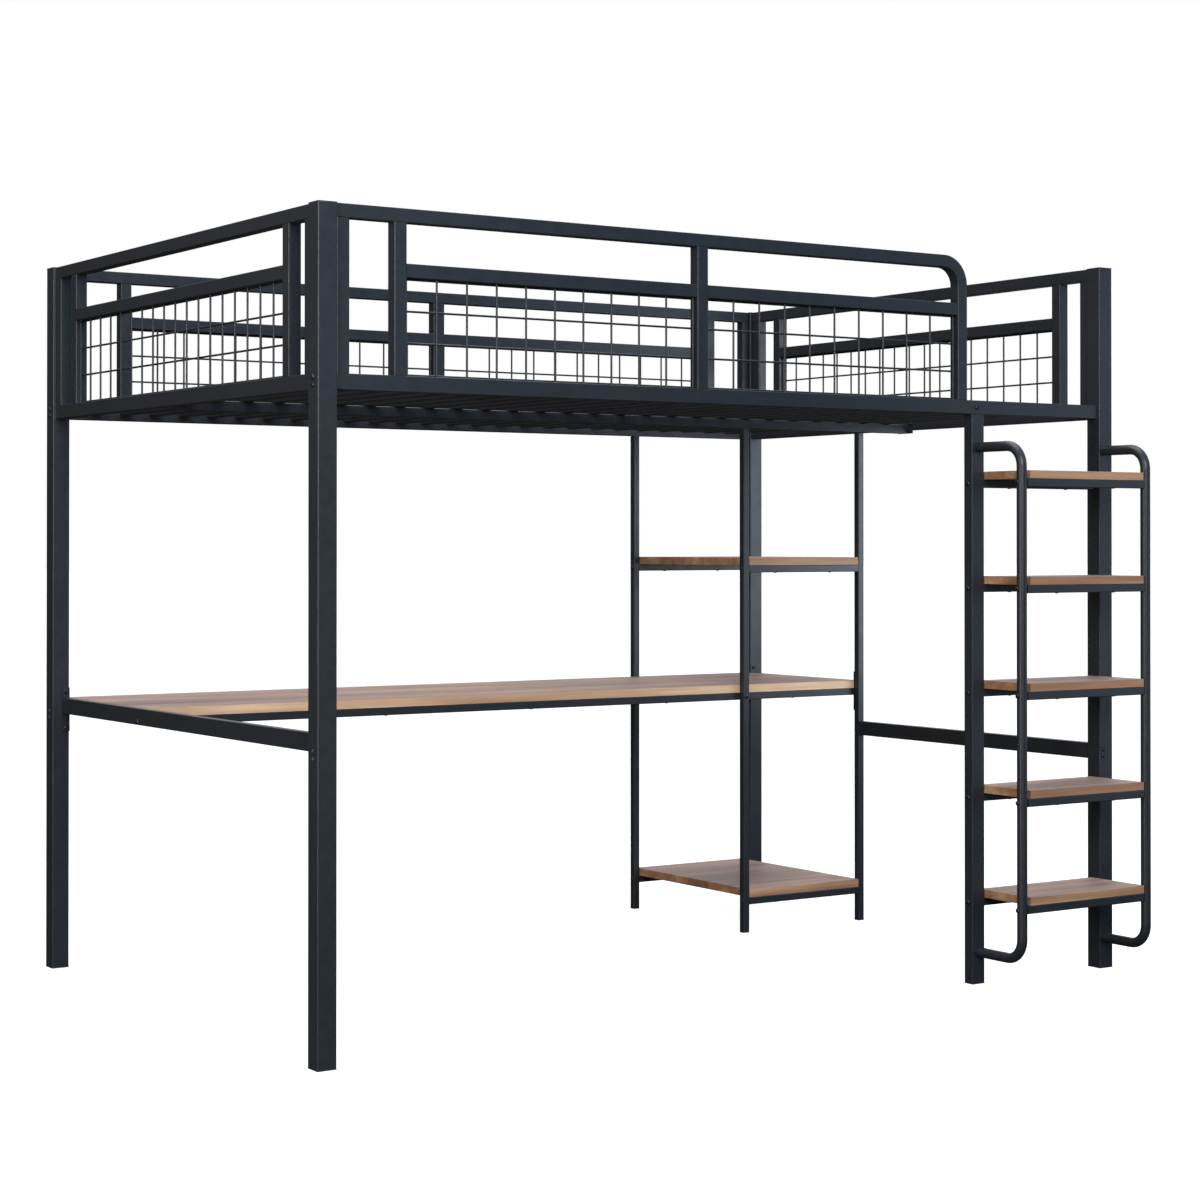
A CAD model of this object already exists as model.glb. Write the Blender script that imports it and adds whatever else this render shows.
import math

import bmesh
import bpy
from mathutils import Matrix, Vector

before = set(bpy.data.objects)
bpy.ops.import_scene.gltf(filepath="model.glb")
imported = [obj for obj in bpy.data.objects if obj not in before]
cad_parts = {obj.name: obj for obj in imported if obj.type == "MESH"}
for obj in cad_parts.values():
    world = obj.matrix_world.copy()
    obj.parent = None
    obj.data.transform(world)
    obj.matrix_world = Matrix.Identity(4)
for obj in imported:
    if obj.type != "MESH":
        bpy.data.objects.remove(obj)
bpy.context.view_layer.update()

# ---------------------------------------------------------------- camera

CAMERA_PLACE = (-3.4715, -5.2370, 1.0900)
CAMERA_YAW = 33.586
CAMERA_PITCH = 0.415
FOCAL_SHARE = 2461.22 / 1200
SENSOR = 36.0
SHIFT = (0.0020, -0.0616)

camera_data = bpy.data.cameras.new("Camera")
camera_data.sensor_fit = "HORIZONTAL"
camera_data.sensor_width = SENSOR
camera_data.lens = FOCAL_SHARE * SENSOR
camera_data.shift_x, camera_data.shift_y = SHIFT
camera_data.clip_end = 200
camera = bpy.data.objects.new("Camera", camera_data)
camera.location = CAMERA_PLACE
camera.rotation_euler = (math.radians(90 + CAMERA_PITCH), 0, -math.radians(CAMERA_YAW))
bpy.context.scene.collection.objects.link(camera)
bpy.context.scene.camera = camera

# ---------------------------------------------------------------- node helpers


class Nodes:
    """A short way to write a material's node tree."""

    def __init__(self, name):
        self.material = bpy.data.materials.new(name)
        self.material.use_nodes = True
        self.tree = self.material.node_tree
        self.shader = self.tree.nodes["Principled BSDF"]
        coordinates = self.tree.nodes.new("ShaderNodeTexCoord")
        self.place = coordinates.outputs["Object"]

    def add(self, kind, inputs=None, **settings):
        made = self.tree.nodes.new(kind)
        for key, value in settings.items():
            setattr(made, key, value)
        for key, value in (inputs or {}).items():
            self.give(made.inputs[key], value)
        return made

    def give(self, socket, value):
        if isinstance(value, bpy.types.NodeSocket):
            self.tree.links.new(value, socket)
        else:
            socket.default_value = value

    def stretched(self, scale, offset=(0, 0, 0)):
        inputs = {"Vector": self.place, "Scale": scale, "Location": offset}
        return self.add("ShaderNodeMapping", inputs).outputs["Vector"]

    def noise(self, vector, scale, detail=2.0, roughness=0.5, distortion=0.0):
        inputs = {"Vector": vector, "Scale": scale, "Detail": detail, "Roughness": roughness,
                  "Distortion": distortion}
        return self.add("ShaderNodeTexNoise", inputs).outputs["Fac"]

    def span(self, value, low, high, to_low=0.0, to_high=1.0):
        inputs = {"Value": value, "From Min": low, "From Max": high, "To Min": to_low, "To Max": to_high}
        return self.add("ShaderNodeMapRange", inputs).outputs["Result"]

    def ramp(self, value, stops):
        made = self.add("ShaderNodeValToRGB", {"Fac": value})
        elements = made.color_ramp.elements
        while len(elements) < len(stops):
            elements.new(0.5)
        for element, (position, colour) in zip(elements, stops):
            element.position = position
            element.color = (*colour, 1)
        return made.outputs["Color"]

    def mix(self, share, first, second, blend="MIX"):
        made = self.tree.nodes.new("ShaderNodeMix")
        made.data_type = "RGBA"
        made.blend_type = blend
        self.give(made.inputs[0], share)
        for index, value in ((6, first), (7, second)):
            self.give(made.inputs[index], value if not isinstance(value, tuple) else (*value, 1))
        return made.outputs[2]

    def combined(self, first, second, operation="ADD"):
        made = self.add("ShaderNodeMath", operation=operation)
        self.give(made.inputs[0], first)
        self.give(made.inputs[1], second)
        return made.outputs[0]

    def bump(self, height, distance, strength=1.0, normal=None):
        inputs = {"Height": height, "Distance": distance, "Strength": strength}
        if normal is not None:
            inputs["Normal"] = normal
        return self.add("ShaderNodeBump", inputs).outputs["Normal"]

    def facing_up(self):
        """The Z of the surface normal: 1 on a top face, -1 on an underside."""
        surface = self.add("ShaderNodeNewGeometry").outputs["Normal"]
        return self.add("ShaderNodeSeparateXYZ", {"Vector": surface}).outputs["Z"]

    def to_shader(self, **inputs):
        for key, value in inputs.items():
            self.give(self.shader.inputs[key.replace("_", " ")], value)
        return self.material


def linear(red, green, blue):
    """A colour given in 0-255 display values."""
    def one(value):
        value /= 255
        return value / 12.92 if value <= 0.04045 else ((value + 0.055) / 1.055) ** 2.4
    return one(red), one(green), one(blue)


# ---------------------------------------------------------------- materials


UNDERSIDE = (-0.8, -0.3)         # Z of the normal, from a full underside to none
UNDERSIDE_TONE = (0.0062, 0.0062, 0.0065)
UNDERSIDE_ROUGHER = 0.5
COAT_SPECULAR = 0.4
SPECK_GAIN = 2.2


def powder_coat(name, base, light, roughness):
    """Satin powder coat: fine orange peel, slow colour drift, faint specks, dull undersides."""
    n = Nodes(name)
    drift = n.noise(n.place, 3.5, 3)
    cloud = n.noise(n.place, 42, 4, 0.6)
    speck = n.noise(n.place, 1900, 1)
    tone = n.mix(n.span(drift, 0.3, 0.7), base, light)
    tone = n.mix(n.span(cloud, 0.42, 0.75, 0, 0.35), tone, light)
    tone = n.mix(n.span(speck, 0.62, 0.75, 0, 0.3), tone, tuple(SPECK_GAIN * value for value in light))
    facing = n.facing_up()
    tone = n.mix(n.span(facing, *UNDERSIDE, 1, 0), tone, UNDERSIDE_TONE)
    peel = n.noise(n.place, 620, 2, 0.55)
    fine = n.noise(n.place, 2400, 1)
    normal = n.bump(peel, 0.00016, n.span(facing, *UNDERSIDE, 0.03, 0.32))
    normal = n.bump(fine, 0.00004, n.span(facing, *UNDERSIDE, 0.03, 0.3), normal)
    rough = n.span(cloud, 0.3, 0.75, roughness - 0.05, roughness + 0.06)
    rough = n.combined(rough, n.span(facing, *UNDERSIDE, UNDERSIDE_ROUGHER, 0.0))
    return n.to_shader(Base_Color=tone, Roughness=rough, Normal=normal,
                       Specular_IOR_Level=COAT_SPECULAR)


SEED_STEP = (1.37, 2.11, 0.73)   # from one board's place in the wood to the next one's
WARP_SHARE = 0.9
TOP_FACE = (0.35, 0.8)           # size of the normal's Z, from an edge to a top face


def oak(name, seed, top, edge):
    """Oak-look boards: long grain along the bed, fibres, pores, warmer and lighter edges."""
    n = Nodes(name)
    offset = tuple(seed * step for step in SEED_STEP)
    warp = n.noise(n.stretched((0.9, 7, 7), offset), 1.0, 3, 0.55)
    bands = n.noise(n.stretched((1.3, 30, 30), offset), 1.0, 5, 0.62, 0.35)
    fibre = n.noise(n.stretched((9, 520, 520), offset), 1.0, 3, 0.6)
    pores = n.noise(n.stretched((16, 900, 900), offset), 1.0, 1, 0.5)
    both = n.combined(bands, n.combined(warp, WARP_SHARE, "MULTIPLY"))
    wander = n.combined(both, 1.0 / (1.0 + WARP_SHARE), "MULTIPLY")
    colour = n.ramp(wander, top)
    colour = n.mix(n.span(fibre, 0.35, 0.72, 0, 0.42), colour, (0.62, 0.55, 0.5), "MULTIPLY")
    colour = n.mix(n.span(pores, 0.6, 0.72, 0, 0.5), colour, (0.42, 0.34, 0.28), "MULTIPLY")
    edge_tone = n.ramp(wander, edge)
    edge_tone = n.mix(n.span(fibre, 0.35, 0.72, 0, 0.35), edge_tone, (0.7, 0.6, 0.5), "MULTIPLY")
    size = n.add("ShaderNodeMath", {0: n.facing_up()}, operation="ABSOLUTE").outputs[0]
    upward = n.span(size, *TOP_FACE)
    colour = n.mix(upward, edge_tone, colour)
    grain = n.bump(fibre, 0.00025, 0.35)
    normal = n.bump(pores, 0.0003, 0.3, grain)
    rough = n.span(wander, 0.3, 0.7, 0.5, 0.64)
    return n.to_shader(Base_Color=colour, Roughness=rough, Normal=normal)


def zinc(name):
    """Blackened bolt metal with fine turning marks and a little wear."""
    n = Nodes(name)
    worn = n.noise(n.place, 260, 4, 0.65)
    tone = n.mix(n.span(worn, 0.5, 0.72), linear(38, 41, 46), linear(78, 82, 88))
    marks = n.noise(n.stretched((3000, 3000, 3000)), 1.0, 1)
    normal = n.bump(marks, 0.00003, 0.4)
    rough = n.span(worn, 0.35, 0.7, 0.3, 0.5)
    return n.to_shader(Base_Color=tone, Roughness=rough, Normal=normal, Metallic=0.75)


def plastic(name):
    """Matt black moulded plastic with a fine spark texture."""
    n = Nodes(name)
    cells = n.add("ShaderNodeTexVoronoi", {"Vector": n.place, "Scale": 1400.0}).outputs["Distance"]
    cloud = n.noise(n.place, 60, 3)
    tone = n.mix(n.span(cloud, 0.35, 0.7), linear(30, 32, 36), linear(48, 51, 57))
    normal = n.bump(cells, 0.00006, 0.5)
    rough = n.span(cloud, 0.3, 0.7, 0.48, 0.62)
    return n.to_shader(Base_Color=tone, Roughness=rough, Normal=normal)


OAK_TOP = ((0.36, linear(106, 82, 73)), (0.47, linear(137, 109, 96)), (0.56, linear(163, 133, 116)),
           (0.68, linear(182, 152, 130)))
OAK_EDGE = ((0.36, linear(118, 80, 54)), (0.5, linear(152, 111, 79)), (0.66, linear(192, 154, 116)))
DESK_EDGE = ((0.36, linear(158, 122, 90)), (0.5, linear(188, 152, 118)), (0.66, linear(222, 190, 152)))

metal = powder_coat("powder_coat", (0.0112, 0.0125, 0.0150), (0.0142, 0.0160, 0.0190), 0.38)
mesh_metal = powder_coat("mesh_coat", (0.0075, 0.0085, 0.0105), (0.010, 0.0115, 0.014), 0.42)
bolt_metal = zinc("bolt_zinc")
black_plastic = plastic("black_plastic")
BOARD_STARTS = ("desk_top", "shelf_board", "step_board")
BOARD_NODES = sorted(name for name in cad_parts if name.startswith(BOARD_STARTS))
EDGES = {"desk_top": DESK_EDGE}
woods = {name: oak("oak_" + name, index, OAK_TOP, EDGES.get(name, OAK_EDGE))
         for index, name in enumerate(BOARD_NODES, 1)}


def material_for(name):
    if name in woods:
        return woods[name]
    if name.endswith(("_bolts", "_screws")):
        return bolt_metal
    if name in ("post_caps", "feet", "hole_plugs"):
        return black_plastic
    if name.startswith("mesh_"):
        return mesh_metal
    return metal


for name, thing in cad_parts.items():
    for slot in thing.material_slots:
        slot.material = material_for(name)

# ---------------------------------------------------------------- floor and light


def camera_only(thing):
    """The pale surround is seen, but doesn't throw its own light on the bed."""
    thing.visible_diffuse = False
    thing.visible_glossy = False
    thing.visible_transmission = False
    thing.visible_shadow = False


SURROUND = 90.0                  # half the floor's side, in metres
BACKDROP_RADIUS = 1.3 * SURROUND
FLOOR_GLOW = 0.96
floor_mesh = bpy.data.meshes.new("floor")
floor_mesh.from_pydata([(-SURROUND, -SURROUND, 0), (SURROUND, -SURROUND, 0),
                        (SURROUND, SURROUND, 0), (-SURROUND, SURROUND, 0)], [], [(0, 1, 2, 3)])
floor = bpy.data.objects.new("floor", floor_mesh)
bpy.context.scene.collection.objects.link(floor)
pale = Nodes("pale_floor")
drift = pale.span(pale.noise(pale.place, 0.8, 3), 0.3, 0.7)
pale_tone = pale.mix(drift, (0.2, 0.2, 0.2), (0.24, 0.24, 0.24))
floor_mesh.materials.append(pale.to_shader(Base_Color=pale_tone, Roughness=0.9, Emission_Color=(1, 1, 1, 1),
                                           Emission_Strength=FLOOR_GLOW))
camera_only(floor)

backdrop_mesh = bpy.data.meshes.new("backdrop")
shell = bmesh.new()
bmesh.ops.create_uvsphere(shell, u_segments=48, v_segments=24, radius=BACKDROP_RADIUS)
shell.to_mesh(backdrop_mesh)
shell.free()
backdrop = bpy.data.objects.new("backdrop", backdrop_mesh)
bpy.context.scene.collection.objects.link(backdrop)
white = Nodes("white_backdrop")
backdrop_mesh.materials.append(white.to_shader(Base_Color=(0, 0, 0, 1), Specular_IOR_Level=0.0,
                                               Emission_Color=(1, 1, 1, 1), Emission_Strength=1.0))
camera_only(backdrop)

# The room's soft glow as direction, power and colour: blue in front, paler above, and bright
# behind on the right. All of it fades out over HORIZON, where only ROOM_FLOOR is left.
GLOWS = (
    ((0.0, -0.8, 0.6), 1.5, (0.08, 0.30, 0.70)),
    ((0.0, 0.0, 1.0), 1.0, (0.53, 0.56, 0.62)),
    ((0.78, 0.62, 0.10), 5.0, (1.10, 1.05, 1.00)),
)
ROOM_FLOOR = (0.052, 0.048, 0.038)
HORIZON = (-0.04, 0.10)
world = bpy.data.worlds.new("studio")
world.use_nodes = True
bpy.context.scene.world = world
sky = world.node_tree
looking = sky.nodes.new("ShaderNodeTexCoord").outputs["Generated"]
split = sky.nodes.new("ShaderNodeSeparateXYZ")
sky.links.new(looking, split.inputs["Vector"])
above = sky.nodes.new("ShaderNodeMapRange")
above.interpolation_type = "SMOOTHSTEP"
above.inputs["From Min"].default_value, above.inputs["From Max"].default_value = HORIZON
sky.links.new(split.outputs["Z"], above.inputs["Value"])
total = None
for direction, power, colour in GLOWS:
    toward = sky.nodes.new("ShaderNodeVectorMath")
    toward.operation = "DOT_PRODUCT"
    toward.inputs[1].default_value = Vector(direction).normalized()
    sky.links.new(looking, toward.inputs[0])
    kept = sky.nodes.new("ShaderNodeMath")
    kept.operation = "MAXIMUM"
    kept.inputs[1].default_value = 0.0
    sky.links.new(toward.outputs["Value"], kept.inputs[0])
    shaped = sky.nodes.new("ShaderNodeMath")
    shaped.operation = "POWER"
    shaped.inputs[1].default_value = power
    sky.links.new(kept.outputs[0], shaped.inputs[0])
    faded = sky.nodes.new("ShaderNodeMath")
    faded.operation = "MULTIPLY"
    sky.links.new(shaped.outputs[0], faded.inputs[0])
    sky.links.new(above.outputs["Result"], faded.inputs[1])
    tinted = sky.nodes.new("ShaderNodeVectorMath")
    tinted.operation = "SCALE"
    tinted.inputs[0].default_value = colour
    sky.links.new(faded.outputs[0], tinted.inputs["Scale"])
    summed = sky.nodes.new("ShaderNodeVectorMath")
    summed.operation = "ADD"
    summed.inputs[1].default_value = ROOM_FLOOR
    sky.links.new(tinted.outputs["Vector"], summed.inputs[0])
    if total is not None:
        sky.links.new(total, summed.inputs[1])
    total = summed.outputs["Vector"]
sky.links.new(total, sky.nodes["Background"].inputs["Color"])


def softbox(name, place, target, size, power, colour=(1, 1, 1)):
    data = bpy.data.lights.new(name, "AREA")
    data.shape = "RECTANGLE"
    data.size, data.size_y = size
    data.energy = power
    data.color = colour
    lamp = bpy.data.objects.new(name, data)
    lamp.location = place
    lamp.visible_camera = False
    direction = Vector(target) - Vector(place)
    lamp.rotation_euler = direction.to_track_quat("-Z", "Y").to_euler()
    bpy.context.scene.collection.objects.link(lamp)


softbox("front_left", (-2.2, -6.2, 3.4), (0, 0, 0.9), (2.6, 2.6), 372, (0.97, 0.97, 0.96))
softbox("right", (1.87, -0.40, 1.25), (1.10, 0.65, 1.15), (0.7, 1.3), 13.2, (0.86, 0.95, 1.06))
softbox("front_right", (2.0, -1.6, 1.15), (1.14, -0.69, 1.15), (1.0, 1.8), 4.2, (0.86, 0.93, 1.08))
softbox("left", (-3.3, -1.7, 1.25), (-0.6, 0.5, 0.85), (0.7, 2.6), 70)
softbox("above", (0, 0.5, 5.2), (0, 0.2, 0), (5, 4), 260)

bpy.context.scene.view_settings.view_transform = "Standard"
